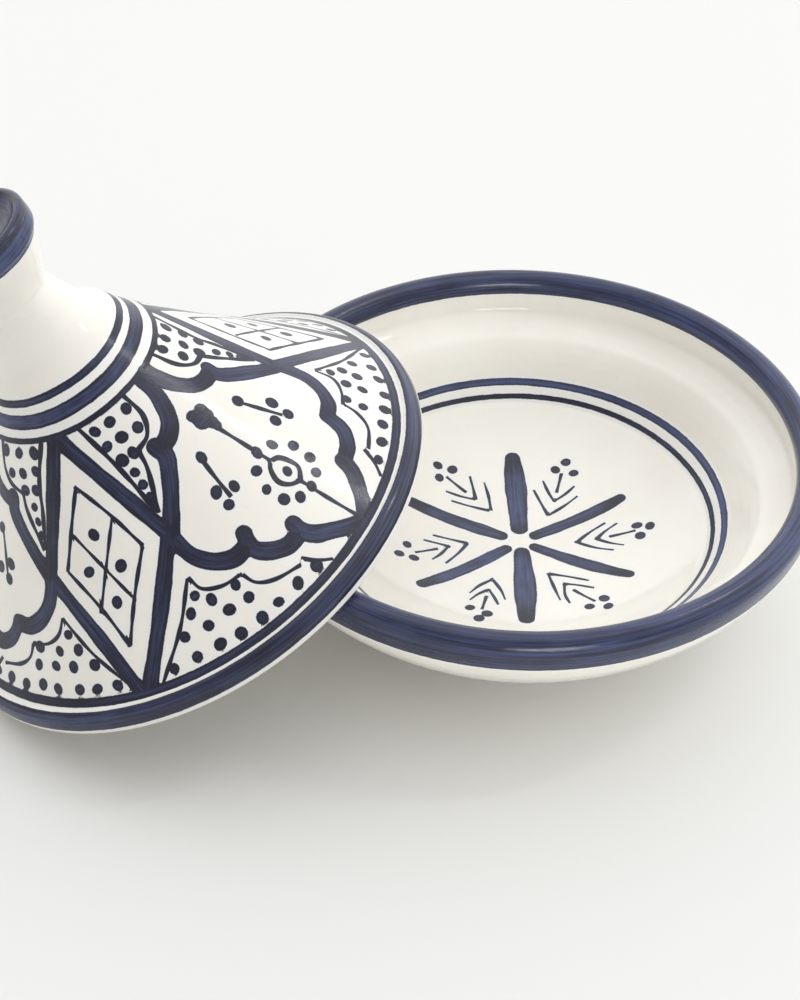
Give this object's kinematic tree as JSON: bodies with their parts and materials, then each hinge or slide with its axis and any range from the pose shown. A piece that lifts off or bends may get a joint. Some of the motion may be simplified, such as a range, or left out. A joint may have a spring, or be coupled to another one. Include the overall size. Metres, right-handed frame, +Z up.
{
  "type": "tagine pot",
  "caption": "Glazed earthenware tagine: a round dish with a rolled cobalt rim and a gallery inside, and its tall hollow cone lid with a flared knob, leaning open against the dish",
  "frame": {"origin": "middle of the flat underside of the dish's foot, on the table plane", "axes": "+Z up along the dish's own axis, out of its mouth. The lid leans on the dish's -X side, turned 11 degrees towards -Y. -Y faces the front"},
  "size_m": [0.3668, 0.262, 0.2014],
  "materials": {
    "cream_glaze": "glossy cream glaze over earthenware, hand painted in cobalt",
    "cobalt_glaze": "brushed cobalt blue under a glossy clear glaze"
  },
  "bodies": {
    "dish": {"dish": "cream_glaze"},
    "lid": {"lid_cone": "cream_glaze", "lid_knob": "cobalt_glaze"}
  },
  "joints": [
    {"name": "lid_lift", "type": "slide", "parent": "dish", "child": "lid", "axis": [0, 0, 1], "range_m": [0, 0.1]}
  ]
}
